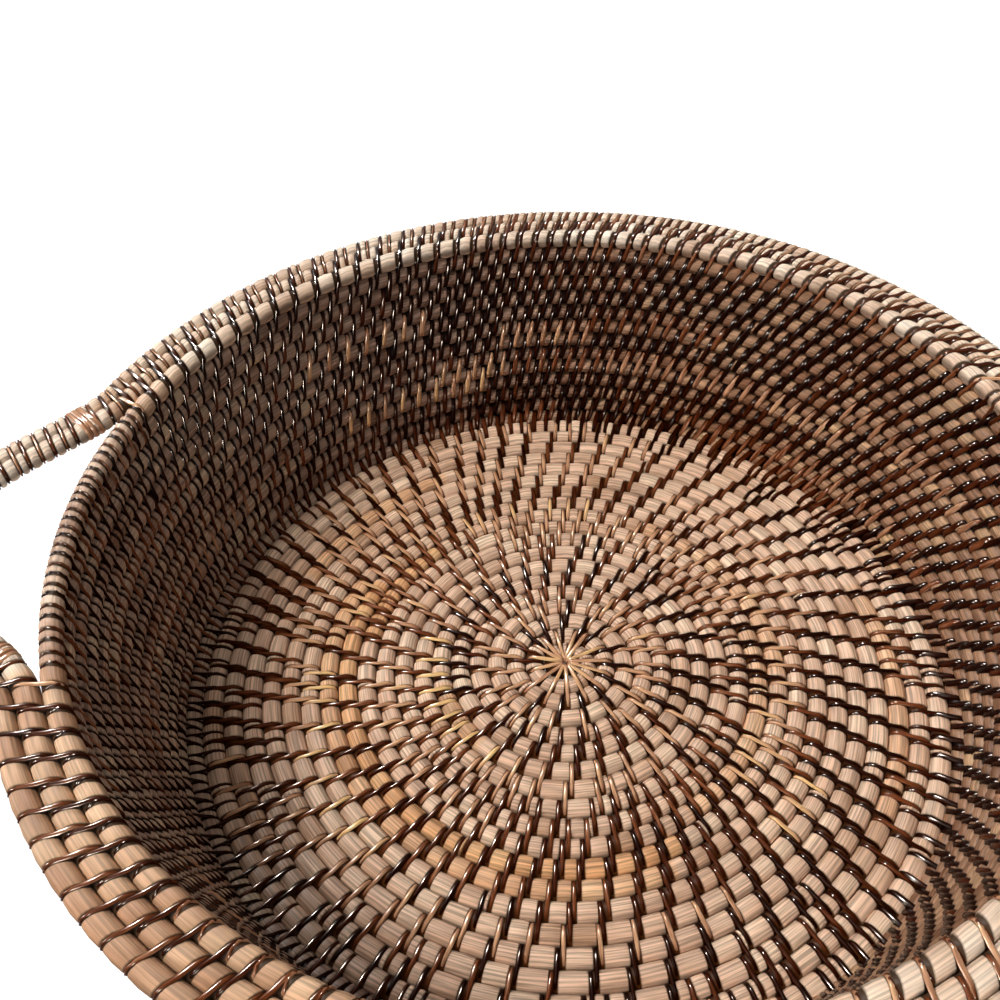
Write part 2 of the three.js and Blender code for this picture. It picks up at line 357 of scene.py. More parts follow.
class Stitches:
    """A set of stitches that is laid in one mesh."""

    def __init__(self):
        self.sets = []

    def add(self, first, second, side, inner, outer, slant, dip, stain, width, start_width=1.0):
        count = len(first)
        fill = np.ones(count)
        self.sets.append((first, second, side, inner * fill, outer * fill, slant * fill, dip * fill,
                          stain * fill, width * fill, start_width * fill))

    def lay(self, name, flat):
        """Makes the mesh, with nothing below the stand where it is flat."""
        first, second, side, inner, outer, slant, dip, stain, width, start_width = (
            np.concatenate(part) for part in zip(*self.sets))
        over = second - first
        over /= np.linalg.norm(over, axis=1, keepdims=True)
        front = np.cross(side, over)
        front /= np.linalg.norm(front, axis=1, keepdims=True)
        rings = []
        lines = []
        roll = dice.normal(0, STRIP_ROLL, len(first))
        stains = []
        for share, degrees, narrow in STATIONS:
            angle = math.radians(degrees)
            reach = inner * (1 - share) + outer * share
            if share == 0.5:
                reach = reach * (1 - dip)
            facing = over * math.cos(angle) + front * math.sin(angle)
            middle = first * (1 - share) + second * share + facing * reach[:, None]
            middle = middle + side * (slant * (share - 0.5 + math.cos(angle) / 2))[:, None]
            tail = share == 0 and abs(degrees) > TAIL_FROM
            wide = width * narrow * (start_width if tail else 1)
            lines.append(middle)
            ring = [middle + side * (x * wide - y * STRIP_THICK * roll)[:, None]
                    + facing * (y * STRIP_THICK + x * wide * roll)[:, None] for x, y in STRIP_SECTION]
            rings.append(np.stack(ring + ring[:1], axis=1))
            # Painted shade where the strip dives
            stains.append(stain - DIVE_SHADE * (1 - min(narrow, 1)))
        rings.append(rings[0])
        lines.append(lines[0])
        stains.append(stains[0])
        places = np.stack(rings, axis=1)
        if flat:
            places[..., 2] = np.maximum(places[..., 2], 0)
        count, stations, across = places.shape[:3]
        steps = np.linalg.norm(np.diff(np.stack(lines, axis=1), axis=1), axis=2)
        along = np.concatenate([np.zeros((count, 1)), np.cumsum(steps, axis=1)], axis=1)
        along = along + dice.uniform(0, PATTERN_ROOM, count)[:, None]
        shape = np.ones((count, stations, across))
        wide = np.linspace(0, 1, across)[None, None, :] * shape * STRIP_WIDTH
        values = {"stain": np.stack(stains, axis=1)[..., None] * shape}
        bm = lay_grid(count * stations, across, places, along[..., None] * shape, wide, values)
        crease(bm, across)
        bm.faces.ensure_lookup_table()
        ends = range(stations - 1, count * stations - 1, stations)
        between = [bm.faces[row * (across - 1) + k] for row in ends for k in range(across - 1)]
        bmesh.ops.delete(bm, geom=between, context="FACES")
        finish_mesh(name, weld(bm), strip_cane, [])


# Tones from black to yellow, how far they vary in a strand, and how many stitches a strand makes
TONES = np.array([0.03, 0.24, 0.45, 0.68, 0.9])
TONE_SPREAD = 0.035
STRAND_STITCHES = (6, 17)
TAN = 0.74


def strand_stains(weights):
    """Stains that run on for a strand of stitches, each strand drawn by the weights where it starts."""
    stains = []
    while len(stains) < len(weights):
        here = weights[len(stains)]
        tone = dice.choice(TONES, p=here / here.sum())
        stains += list(tone + dice.normal(0, TONE_SPREAD, int(dice.integers(*STRAND_STITCHES))))
    return np.clip(np.array(stains[:len(weights)]), 0, 1)


def stand_out(stains, angles, rows, reach, strands):
    """Sets the strands that stand out: row, the angles it runs between clockwise, and tone."""
    for row, first, last, tone in strands:
        passed = np.mod(first - np.degrees(angles), 360)
        on = (np.abs(rows - row) < reach) & (passed < (first - last) % 360)
        stains[on] = np.clip(tone + dice.normal(0, TONE_SPREAD, on.sum()), 0, 1)


# Materials, with the scales of their patterns per metre along and across the cane

# Fibres in streaks about 33 mm long and 0.7 mm apart: real ones are too fine to show, so these
# are drawn coarser
FIBRE_SCALE = (30, 1400, 1)
# Patches about 55 mm long and 17 mm wide, where the smoke took more or less
PATCH_SCALE = (18, 60, 1)
# Streaks of the skin about 11 mm long and 0.45 mm apart, drawn coarser than real so that they show
STREAK_SCALE = (90, 2200, 1)


def linear(hex_colour):
    def channel(c):
        c /= 255
        return c / 12.92 if c <= 0.04045 else ((c + 0.055) / 1.055) ** 2.4
    return (*(channel(hex_colour >> shift & 255) for shift in (16, 8, 0)), 1)


def add(tree, kind, settings=None, links=None):
    """Adds a node with its settings, and links its inputs from other nodes' outputs."""
    node = tree.nodes.new(kind)
    for name, value in (settings or {}).items():
        if hasattr(node, name) and not name[0].isupper():
            setattr(node, name, value)
        else:
            node.inputs[name].default_value = value
    for name, source in (links or {}).items():
        tree.links.new(source, node.inputs[name])
    return node


def ramp_stops(ramp, stops):
    elements = ramp.color_ramp.elements
    while len(elements) < len(stops):
        elements.new(1)
    for element, (place, colour) in zip(elements, stops):
        element.position = place
        element.color = linear(colour)


def new_material(name):
    """An empty material, its node tree, and the way along and across the cane in metres."""
    material = bpy.data.materials.new(name)
    material.use_nodes = True
    tree = material.node_tree
    tree.nodes.clear()
    return material, tree, add(tree, "ShaderNodeUVMap").outputs["UV"]


def rattan_core(name, groove_stain_and_shade, dark, middle, pale, fibre):
    """Rattan core, peeled and smoked: dull, with lengthwise fibres and painted shade, with some stain,
    in the grooves.
    """
    material, tree, uv = new_material(name)
    fibre_map = add(tree, "ShaderNodeMapping", {"Scale": FIBRE_SCALE}, {"Vector": uv})
    fibres = add(tree, "ShaderNodeTexNoise", {"noise_dimensions": "2D", "Scale": 1, "Detail": 3},
                 {"Vector": fibre_map.outputs["Vector"]}).outputs["Fac"]
    patch_map = add(tree, "ShaderNodeMapping", {"Scale": PATCH_SCALE}, {"Vector": uv})
    patches = add(tree, "ShaderNodeTexNoise", {"noise_dimensions": "2D", "Scale": 1, "Detail": 2},
                  {"Vector": patch_map.outputs["Vector"]}).outputs["Fac"]
    shade = add(tree, "ShaderNodeAttribute", {"attribute_name": "shade"}).outputs["Fac"]
    lift = add(tree, "ShaderNodeMath", {"operation": "MULTIPLY_ADD"}, {0: shade})
    lift.inputs[1].default_value = 0.085
    lift.inputs[2].default_value = 0.02
    mixed = add(tree, "ShaderNodeMath", {"operation": "ADD"}, {0: lift.outputs[0], 1: patches})
    ramp = add(tree, "ShaderNodeValToRGB", None, {"Fac": mixed.outputs[0]})
    ramp_stops(ramp, [(0.15, dark), (0.5, middle), (0.85, pale)])
    streak = add(tree, "ShaderNodeMapRange",
                 {"From Min": 0.32, "From Max": 0.68, "To Min": fibre, "To Max": 1.2},
                 {"Value": fibres}).outputs["Result"]
    gold = add(tree, "ShaderNodeAttribute", {"attribute_name": "gold"}).outputs["Fac"]
    multiply = {"data_type": "RGBA", "blend_type": "MULTIPLY"}
    gilded = add(tree, "ShaderNodeMix", multiply, {"Factor": gold})
    tree.links.new(ramp.outputs["Color"], gilded.inputs[6])
    gilded.inputs[7].default_value = linear(0xFFE6BE)
    grained = add(tree, "ShaderNodeMix", {**multiply, "Factor": 1.0})
    tree.links.new(gilded.outputs[2], grained.inputs[6])
    tree.links.new(streak, grained.inputs[7])
    opened = add(tree, "ShaderNodeAttribute", {"attribute_name": "open"}).outputs["Fac"]
    # The groove colour is painted shade, with some stain, where the core meets the strips and the next
    # row
    stained = add(tree, "ShaderNodeMix", {"data_type": "RGBA"}, {"Factor": opened})
    stained.inputs[6].default_value = linear(groove_stain_and_shade)
    tree.links.new(grained.outputs[2], stained.inputs[7])
    bump = add(tree, "ShaderNodeBump", {"Strength": 0.35, "Distance": 0.0003}, {"Height": fibres})
    shader = add(tree, "ShaderNodeBsdfPrincipled", {"Roughness": 0.55, "Specular IOR Level": 0.01},
                 {"Base Color": stained.outputs[2], "Normal": bump.outputs["Normal"]})
    add(tree, "ShaderNodeOutputMaterial", None, {"Surface": shader.outputs["BSDF"]})
    return material


def split_cane(name):
    """Split cane skin, stained from near black to gold: smooth and glossy, streaked lengthwise."""
    material, tree, uv = new_material(name)
    streak_map = add(tree, "ShaderNodeMapping", {"Scale": STREAK_SCALE}, {"Vector": uv})
    streaks = add(tree, "ShaderNodeTexNoise", {"noise_dimensions": "2D", "Scale": 1, "Detail": 2},
                  {"Vector": streak_map.outputs["Vector"]}).outputs["Fac"]
    stain = add(tree, "ShaderNodeAttribute", {"attribute_name": "stain"}).outputs["Fac"]
    spread = add(tree, "ShaderNodeMapRange", {"To Min": -0.2, "To Max": 0.2}, {"Value": streaks})
    tone = add(tree, "ShaderNodeMath", {"operation": "ADD"}, {0: stain, 1: spread.outputs["Result"]})
    ramp = add(tree, "ShaderNodeValToRGB", None, {"Fac": tone.outputs[0]})
    ramp_stops(ramp, [
        (0.0, 0x1A0400), (0.2, 0x3A1303), (0.45, 0x723C20), (0.7, 0xC2916E), (0.95, 0xEABF80),
    ])
    rough = add(tree, "ShaderNodeMapRange", {"To Min": 0.12, "To Max": 0.24}, {"Value": streaks})
    bump = add(tree, "ShaderNodeBump", {"Strength": 0.2, "Distance": 0.0002}, {"Height": streaks})
    shader = add(tree, "ShaderNodeBsdfPrincipled",
                 {"Specular IOR Level": 0.04, "Specular Tint": (1, 0.86, 0.72, 1)},
                 {"Base Color": ramp.outputs["Color"], "Roughness": rough.outputs["Result"],
                  "Normal": bump.outputs["Normal"]})
    add(tree, "ShaderNodeOutputMaterial", None, {"Surface": shader.outputs["BSDF"]})
    return material


floor_rattan = rattan_core("smoked_rattan_floor", 0x46250F, 0xBC9272, 0xDBB497, 0xEACBAC, 0.52)
# The wall's core colours are darker than the floor's: painted shade on the wall
wall_rattan_shaded = rattan_core("smoked_rattan_wall_shaded", 0x1A0702, 0x835F4A, 0xA88874, 0xCCAE8E, 0.52)
# The rim's core colours are paler than the floor's: painted light on its top
rim_rattan_lit = rattan_core("smoked_rattan_rim_lit", 0x45301F, 0xB28C72, 0xE2C2A6, 0xF3E0CA, 0.68)
strip_cane = split_cane("stained_split_cane")


# Strands that stand out on the floor, by radius in mm, and on the wall, by row: the angles in
# degrees that each runs between clockwise, and its tone
FLOOR_STRANDS = [
    (26, 96, 71, 0.03), (32, -107, -122, 0.03), (41, -3, -32, 0.03), (50, 194, 158, 0.92),
    (53, -126, -161, 0.88), (60, 57, 15, 0.03), (66, 88, 71, 0.03), (72, 156, 143, 0.82),
    (81, -20, -45, 0.78), (84, 121, 92, 0.76), (90, 20, -32, 0.72), (91, 92, 76, 0.84),
    (95, 164, 150, 0.78), (102, 200, 176, 0.92), (105, -32, -46, 0.82), (105, -103, -128, 0.03),
    (106, -128, -165, 0.88), (109, 105, 86, 0.68), (113, 20, -4, 0.03), (131, 126, 104, 0.56),
    (131, -75, -94, 0.03), (134, 150, 127, 0.7), (135, 80, 66, 0.7), (143, 62, -40, 0.16),
    (150, 70, -30, 0.08),
]
WALL_STRANDS = [
    (9, 132, 110, 0.74), (5, 111, 96, 0.74), (4, 128, 99, 0.76), (7, 99, 81, 0.68),
    (5, 80, 58, 0.6), (5, 57, 34, 0.66), (3, 95, 77, 0.0), (9, 109, 99, 0.02), (10, 78, 62, 0.02),
    (1, 98, 86, 0.36), (7, 38, 8, 0.62), (2, 45, 20, 0.55), (4, 40, 24, 0.0), (8, 180, 158, 0.5),
    (4, 168, 148, 0.6), (3, 163, 147, 0.02), (5, 200, 172, 0.44), (9, 196, 168, 0.4),
]

# Arcs of the floor where the core is golden: radius in mm, the angles, and how golden
FLOOR_GOLD = [
    (85, 170, 130, 0.9), (85, 60, -60, 0.5), (94, -65, 150, 0.9), (101, -70, 150, 0.6),
    (128, 155, 115, 0.6), (136, 15, -35, 0.5), (52, -135, -170, 0.6),
]
GOLD_HALF_WIDTH = 4.2


# Places of the stitches along the coil

def turn_length(turn):
    """Length of one turn of the coil about a place on it."""
    return FULL_TURN * coil_line(turn)[0]


def floor_turns():
    """Each stitch stands beside the one under it, and a new one comes in where a block gets long."""
    turns = [(k + dice.uniform(-0.2, 0.2)) / EYE_STRIPS for k in range(EYE_STRIPS)]
    parent = 0
    while True:
        below = turns[parent]
        length = float(turn_length(below + 1))
        spacing = FLOOR_SPACING * (0.72 + 0.28 * min(length / FULL_TURN / FLOOR_SPREAD, 1))
        uneven = (turns[parent + 1] + turns[max(parent - 1, 0)] - 2 * below) * length
        evening = min(max(EVENING_SHARE * uneven, EVENING_LEAST), EVENING_MOST)
        beside = FLOOR_BESIDE + FLOOR_SLANT + evening
        child = below + 1 + (beside + dice.normal(0, FLOOR_STRAY)) / length
        gap = (child - turns[-1]) * length
        parent += 1
        if gap < 0.55 * spacing:
            continue
        if gap > spacing * dice.uniform(1.3, 1.5):
            turns.append(turns[-1] + (child - turns[-1]) * dice.uniform(0.45, 0.55))
        if child > FLOOR_TURNS - 1:
            return np.array(turns)
        turns.append(child)


def wall_lay(turn, column):
    """A column of the wall's table at each turn, in metres."""
    angle = np.degrees(COIL_START - FULL_TURN * np.asarray(turn))
    return np.interp(np.mod(angle, 360), WALL_LAY[:, 0], WALL_LAY[:, column]) * MM


# Share of a turn's stitches that come before each part of the turn
TURN_PART = np.linspace(0, 1, 2001)
turn_density = 1 / wall_lay(TURN_PART, 1)
TURN_SHARE = np.concatenate([[0], np.cumsum((turn_density[1:] + turn_density[:-1]) / 2)])
TURN_SHARE /= TURN_SHARE[-1]


def even_turns(number):
    """Turn of each wall stitch, counted on from the last one of the floor."""
    count = number / (WALL_COLUMNS - WALL_LEAD)
    count = count + math.floor(floor_at[-1]) + np.interp(floor_at[-1] % 1, TURN_PART, TURN_SHARE)
    return np.floor(count) + np.interp(count % 1, TURN_SHARE, TURN_PART)


def lean_of(turn):
    """How far a wall stitch leans, so that it starts beside the end of the one under it."""
    apart = wall_lay(turn, 1) / np.mean(1 / turn_density) * turn_length(turn) / WALL_COLUMNS
    return np.maximum(WALL_LEAD * apart - wall_lay(turn, 2), WALL_LEAST_LEAN)


def wall_lean(turn):
    """Lean of the stitches and blocks, which comes in over the last loops of the floor."""
    return lean_of(turn) * smooth((turn - FLOOR_TURNS + 1.6) / 2)


floor_at = floor_turns()
wall_count = int((COIL_TURNS - 1 - floor_at[-1]) * (WALL_COLUMNS - WALL_LEAD))
coil_at = even_turns(np.arange(1, wall_count + WALL_COLUMNS))
coil_at += dice.normal(0, WALL_STRAY, len(coil_at)) / turn_length(np.minimum(coil_at, COIL_TURNS))
wall_at = coil_at[:wall_count]
rim_at = coil_at[wall_count:]


def coil_place(turn):
    radius, angle, height = coil_line(turn)
    return polar(radius, angle, height)


def along_side(turn):
    """The level way along the coil."""
    angle = COIL_START - FULL_TURN * turn
    return np.stack([np.sin(angle), -np.cos(angle), 0 * angle], axis=-1)


# Length along the coil for every turn of it, to measure blocks by
fine_turns = np.linspace(-0.5, FLOOR_TURNS + WALL_ROWS + 0.1, 60000)
fine_steps = np.linalg.norm(np.diff(coil_place(fine_turns), axis=0), axis=1)
fine_length = np.concatenate([[0], np.cumsum(fine_steps)])


def coil_length(turn):
    return np.interp(turn, fine_turns, fine_length)


def coil_turn(length):
    return np.interp(length, fine_length, fine_turns)


floor_slant = dice.normal(FLOOR_SLANT, FLOOR_STRAY, len(floor_at))
wall_slant = wall_lean(wall_at) * dice.normal(1, 0.1, len(wall_at))
all_at = np.concatenate([floor_at, wall_at])
all_slant = np.concatenate([floor_slant, wall_slant])
lower = coil_length(all_at) - all_slant / 2
upper = coil_length(all_at + 1) + all_slant / 2
rim_angles = COIL_START - FULL_TURN * rim_at
rim_slant = lean_of(np.minimum(rim_at, COIL_TURNS))
under = coil_length(rim_at) - rim_slant / 2
wall_width = wall_lay(wall_at, 3) * dice.normal(1, 0.08, len(wall_at))
floor_width = STRIP_WIDTH * dice.normal(1, 0.07, len(floor_at))
all_width = np.concatenate([FLOOR_COVER * floor_width, WALL_COVER * wall_width])
coil_crossings = np.concatenate([lower, upper, under, fine_length[-1:]])
coil_widths = np.concatenate([all_width, all_width, np.full(len(under) + 1, RIM_STRIP)])
coil_order = np.argsort(coil_crossings)
coil_crossings = coil_crossings[coil_order]
coil_widths = coil_widths[coil_order]


def coil_taper(turn):
    """The core is thinner in the three loops round the eye."""
    return 0.8 + 0.2 * np.clip(turn, -0.5, 3) / 3


def golden(turn):
    """How golden the core is: in arcs of the floor, and on the wall towards the right."""
    radius, angle, _ = coil_line(turn)
    gold = 0 * radius
    for middle, first, last, share in FLOOR_GOLD:
        passed = np.mod(first - np.degrees(angle), 360)
        beside = np.abs(radius / MM - middle)
        gold[(beside < GOLD_HALF_WIDTH) & (passed < (first - last) % 360)] = share
    return np.where(turn < FLOOR_TURNS, gold, 0.65 * smooth(0.5 + np.cos(angle)))


def wall_painted_shade(turn):
    """How pale the core is: painted shade, darker on the wall at the back and near the front on the
    right.
    """
    angle = COIL_START - FULL_TURN * turn
    back = smooth(2 * np.cos(angle - math.radians(80)) - 0.8)
    front = smooth(2 * np.cos(angle + math.radians(20)) - 1)
    return np.where(turn < FLOOR_TURNS, 0, -1.7 * back - 1.6 * front)


def coil_lie(turn):
    """How the coil lies: middle, way to its next row, face, half its room each way, tint, painted shade
    and lean.
    """
    here = coil_place(turn)
    after = coil_place(np.minimum(turn + 1, COIL_TURNS))
    before = coil_place(np.maximum(turn - 1, -1))
    out = polar(1, COIL_START - FULL_TURN * turn, 0)
    top = turn + 1 > COIL_TURNS
    after[top] = rim_line(COIL_START - FULL_TURN * turn[top], 0)[0]
    across = after - before
    inner = turn < 1
    across[inner] = out[inner]
    across /= np.linalg.norm(across, axis=1, keepdims=True)
    face = np.cross(along_side(turn), across)
    # Rows overlap a little, and more at the corner, so that no light comes through
    corner = 1.02 + 0.06 * np.exp(-np.abs(turn - FLOOR_TURNS) ** 4)
    far = np.linalg.norm(after - here, axis=1)
    far = np.where(top, far - (RIM_STEP - TOP_ROW_STEP) + WALL_PITCH / 2, far / 2) * corner
    near = np.where(inner, FLOOR_PITCH / 2, np.linalg.norm(here - before, axis=1) / 2) * corner
    lean = np.where(turn < FLOOR_TURNS, FLOOR_SLANT / FLOOR_PITCH, wall_lean(turn) / WALL_PITCH)
    return here, across, face, near, far, 1.0 * inner, 0.0 * turn, golden(turn), wall_painted_shade(turn), lean


def coil_core(name, first, last, block, flat, material, node):
    begin = float(coil_length(first))
    end = float(coil_length(last))
    along = ring_places(begin, end, coil_crossings, coil_widths)
    turn = coil_turn(along)
    core(name, coil_lie(turn), along, coil_crossings, coil_widths, block, COIL_SIDES,
         coil_taper(turn), flat, material, [node])


# Turns by which the core runs on into the eye and past the top row
EYE_END = -0.4
TOP_TAIL = 1 / 24
coil_core("floor_core", EYE_END, FLOOR_TURNS, FLOOR_BLOCK, FLOOR_FLAT, floor_rattan,
          "floor_coil")
wall_third = (WALL_ROWS + TOP_TAIL) / 3
for k, part in enumerate(("lower", "middle", "upper")):
    first = FLOOR_TURNS + wall_third * k
    coil_core(f"wall_core_{part}", first, first + wall_third, WALL_BLOCK, 1, wall_rattan_shaded,
              f"wall_coil_{part}")

STRIP_ON_FLOOR, STRIP_ON_WALL, STRIP_ON_RIM = (
    radius * pinch + STRIP_THICK / 2 for radius, pinch, *_ in (FLOOR_BLOCK, WALL_BLOCK, RIM_BLOCK))

# Stitches of the floor: more dark ones on the right, more yellow ones on the left (their stain, partly
# lifted as painted sheen), none of them yellow in the loops round the eye
YELLOW_FROM = 5
floor_stitches = Stitches()
floor_angle = COIL_START - FULL_TURN * floor_at
leftward = (1 - np.cos(floor_angle)) / 2
dark_side = np.array([0.42, 0.32, 0.17, 0.09, 0])
light_side = np.array([0.1, 0.22, 0.32, 0.28, 0.08])
floor_weights = dark_side + (light_side - dark_side) * leftward[:, None]
floor_weights[floor_at < YELLOW_FROM, 4] = 0
floor_stain = strand_stains(floor_weights)
stand_out(floor_stain, floor_angle, coil_line(floor_at)[0] / MM, 4, FLOOR_STRANDS)

# The first loop's strips are tan and meet in the eye
eye = floor_at < 0.96
floor_stain[eye] = dice.normal(TAN, 0.05, eye.sum())
inner_reach = STRIP_ON_FLOOR * coil_taper(floor_at) + FLOOR_LIFT
outer_reach = STRIP_ON_FLOOR * coil_taper(floor_at + 1)
inner_place = coil_place(floor_at)
inner_place[eye] = polar(EYE_REACH + EYE_BEND, COIL_START - FULL_TURN * floor_at[eye], 0)
inner_place[eye, 2] = FLOOR_AXIS + inner_reach[eye] - EYE_BEND
inner_reach[eye] = EYE_BEND
floor_stitches.add(inner_place, coil_place(floor_at + 1), along_side(floor_at), inner_reach,
                   outer_reach, floor_slant, np.where(eye, 0, FLOOR_DIP), floor_stain, floor_width,
                   np.where(eye, 0.7, 1))
floor_stitches.lay("floor_stitches", True)

# Stitches of the wall: most are near black
wall_stitches = Stitches()
wall_weights = np.array([[0.58, 0.3, 0.1, 0.02, 0]]) * np.ones((len(wall_at), 1))
wall_stain = strand_stains(wall_weights)
wall_row = np.floor(wall_at - FLOOR_TURNS) + 1
stand_out(wall_stain, COIL_START - FULL_TURN * wall_at, wall_row, 0.5, WALL_STRANDS)
wall_stitches.add(coil_place(wall_at), coil_place(wall_at + 1), along_side(wall_at),
                  STRIP_ON_WALL + WALL_LIFT, STRIP_ON_WALL, wall_slant, WALL_DIP, wall_stain,
                  wall_width)
wall_stitches.lay("wall_stitches", False)


# Rim hoops and their stitches

def hoop_steps(row):
    """Angles round a hoop and the length along it up to each."""
    angles = np.linspace(0, FULL_TURN, 20001)
    middle, _ = rim_line(angles, row)
    length = np.concatenate([[0], np.cumsum(np.linalg.norm(np.diff(middle, axis=0), axis=1))])
    return angles, length


hoop_length = [hoop_steps(row) for row in range(3)]


def hoop_at(row, angle):
    angles, length = hoop_length[row]
    return np.interp(np.mod(angle, FULL_TURN), angles, length)


def hoop_angle(row, at):
    angles, length = hoop_length[row]
    return np.interp(np.mod(at, length[-1]), length, angles)


# Share of a handle's half span at which its canes leave the inner hoop
HANDLE_LEAVES = 0.84
hoop_crossings = [[], [], []]


def off_handle(angles):
    """How far off a handle's middle, from 0 there to 1 at its roots."""
    return np.abs(np.arcsin(np.sin(angles))) / HANDLE_HALF


def level_side(out):
    """The way along a hoop, clockwise from above."""
    return np.stack([out[:, 1], -out[:, 0], 0 * out[:, 0]], axis=-1)


def rim_set(stitches, low_row, angles, slant, stain, width):
    """Stitches round one hoop and the next, which pinch both."""
    first, out = rim_line(angles, low_row)
    second = first + RIM_PITCH * out if low_row == 1 else rim_line(angles, 1)[0]
    stitches.add(first, second, level_side(out), STRIP_ON_RIM, STRIP_ON_RIM, slant, RIM_DIP, stain,
                 width)
    hoop_crossings[low_row].append(hoop_at(low_row, angles) + slant / 2)
    hoop_crossings[low_row + 1].append(hoop_at(low_row + 1, angles) - slant / 2)


def rim_stains(angles):
    """The rim's strips are light near the front on the right, and brown elsewhere: lighter than the
    wall's, partly stain and partly painted reflection of the sky.
    """
    light = smooth(1.6 * np.cos(angles + math.radians(65)) - 0.4)[:, None]
    light_weights = np.array([[0, 0, 0.24, 0.6, 0.16]])
    brown_weights = np.array([[0.26, 0.42, 0.28, 0.04, 0]])
    return strand_stains(light_weights * light + brown_weights * (1 - light))


def rim_width(angles):
    """The rim's strips are wider on the right."""
    return RIM_STRIP * (1 + 0.1 * np.cos(angles - math.radians(30)))


def top_row(angles):
    """Middle of the wall's top row."""
    radius, height = wall_profile(TOP_ROW_STEP)
    return polar(radius, angles, float(height))


rim_stitches = Stitches()
round_line, round_out = rim_line(rim_angles, 0)
rim_stitches.add(top_row(rim_angles), round_line, level_side(round_out), STRIP_ON_WALL, STRIP_ON_RIM,
                 rim_slant, RIM_DIP, rim_stains(rim_angles), rim_width(rim_angles))
hoop_crossings[0].append(hoop_at(0, rim_angles) - rim_slant / 2)

# Where the outer hoops leave it for a handle, the inner hoop has thin strips between its others
gap_angles = (rim_angles[:-1] + rim_angles[1:]) / 2
gap_angles = gap_angles[off_handle(gap_angles) < HANDLE_LEAVES]
gap_line, gap_out = rim_line(gap_angles, 0)
gap_stain = dice.normal(0.45, 0.05, len(gap_angles))
rim_stitches.add(top_row(gap_angles), gap_line, level_side(gap_out), WALL_BLOCK[0] + STRIP_THICK / 2,
                 STRIP_ON_RIM, GAP_SLANT, RIM_DIP, gap_stain, GAP_STRIP)
hoop_crossings[0].append(hoop_at(0, gap_angles) - GAP_SLANT / 2)

# Each stitch goes on from hoop to hoop beside the one before, and the ones next to a handle are tan
over_angles = rim_angles - (rim_slant / 2 + RIM_BESIDE + RIM_SLANT / 2) / RIM_RADIUS
edge_angles = over_angles - (RIM_BESIDE + RIM_SLANT) / (RIM_RADIUS + RIM_PITCH)
over_angles = over_angles[off_handle(over_angles) > HANDLE_LEAVES]
over_stain = rim_stains(over_angles)
over_stain[off_handle(over_angles) < HANDLE_LEAVES + 0.12] = TAN
rim_set(rim_stitches, 0, over_angles, RIM_SLANT, over_stain, rim_width(over_angles))
edge_angles = edge_angles[off_handle(edge_angles) > HANDLE_LEAVES]
rim_set(rim_stitches, 1, edge_angles, RIM_SLANT, rim_stains(edge_angles), rim_width(edge_angles))

# At the back, thin pale strips between the others on the outer hoops
pale_angles = edge_angles - PALE_BESIDE / RIM_RADIUS
pale_angles = pale_angles[(off_handle(pale_angles) > HANDLE_LEAVES) & (np.sin(pale_angles) > 0.3)]
pale_stain = dice.normal(0.6, 0.05, len(pale_angles))
rim_set(rim_stitches, 1, pale_angles, RIM_SLANT, pale_stain, PALE_STRIP)
rim_stitches.lay("rim_stitches", False)

# Each handle: its two canes wrapped together, dark and tan strips by turns
for end, middle in (("left", math.pi), ("right", 0)):
    wraps = Stitches()
    line_angles = middle + np.linspace(-1, 1, 4001) * HANDLE_HALF * HANDLE_LEAVES
    line = (rim_line(line_angles, 1)[0] + rim_line(line_angles, 2)[0]) / 2
    line_length = np.concatenate([[0], np.cumsum(np.linalg.norm(np.diff(line, axis=0), axis=1))])
    wrap_count = int(line_length[-1] / WRAP_SPACING)
    wrap_at = np.arange(wrap_count) + 0.5 + dice.normal(0, 0.06, wrap_count)
    wrap_at = wrap_at * line_length[-1] / wrap_count
    wrap_angles = np.interp(wrap_at, line_length, line_angles)
    dark = np.arange(wrap_count) % 2 == 0
    wrap_stain = np.where(dark, 0.42, 0.62) + dice.normal(0, 0.05, wrap_count)
    rim_set(wraps, 1, wrap_angles, WRAP_SLANT, wrap_stain, np.where(dark, *WRAP_STRIPS))
    wraps.lay(f"handle_wraps_{end}", False)

# Lashings at the handle roots
LASHING_TURNS = 3
LASHING_STEPS = 8
LASHING_PITCH = 2.5 * MM
LASHING_TONE = 0.64
root_share = math.acos(2 * LASHING_ROOM / HANDLE_REACH - 1) / math.pi


def wound_strip(name, middles, facings, sides, width, stain, node):
    """A flat strip through given middles, closed at both ends."""
    ring = [middles + sides * (x * width) + facings * (y * STRIP_THICK) for x, y in STRIP_SECTION]
    places = np.stack(ring + ring[:1], axis=1)
    steps = np.linalg.norm(np.diff(middles, axis=0), axis=1)
    shape = np.ones(places.shape[:2])
    along = np.concatenate([[0], np.cumsum(steps)])[:, None] * shape
    across = np.linspace(0, 1, places.shape[1])[None, :] * shape * width
    bm = lay_grid(*places.shape[:2], places, along, across, {"stain": stain * shape})
    crease(bm, places.shape[1])
    finish_mesh(name, weld(bm), strip_cane, [node])


for end, middle in (("left", math.pi), ("right", 0)):
    for half, way in (("front", 1 if end == "left" else -1), ("back", -1 if end == "left" else 1)):
        root = middle + way * HANDLE_HALF * root_share
        per_length = abs(float(hoop_at(1, root + 0.001) - hoop_at(1, root - 0.001))) / 0.002
        swing = np.linspace(-0.5, 2 * LASHING_TURNS - 0.5, 2 * LASHING_TURNS * LASHING_STEPS + 1)
        travel = LASHING_PITCH * (swing + 0.5 - LASHING_TURNS) / 2
        angles = root - travel / per_length
        inner_line, out = rim_line(angles, 1)
        on_outer = np.floor(swing + 0.5).astype(int) % 2 == 0
        cane_line = inner_line + RIM_PITCH * out * on_outer[:, None]
        facing = out * np.cos(math.pi * swing)[:, None]
        facing[:, 2] += np.sin(math.pi * swing)
        strip_line = cane_line + facing * (STRIP_ON_RIM + LASHING_LIFT)
        wound_strip(f"root_lashing_{end}_{half}", strip_line, facing, level_side(out), LASHING_STRIP,
                    LASHING_TONE, f"lashing_{end}_{half}")
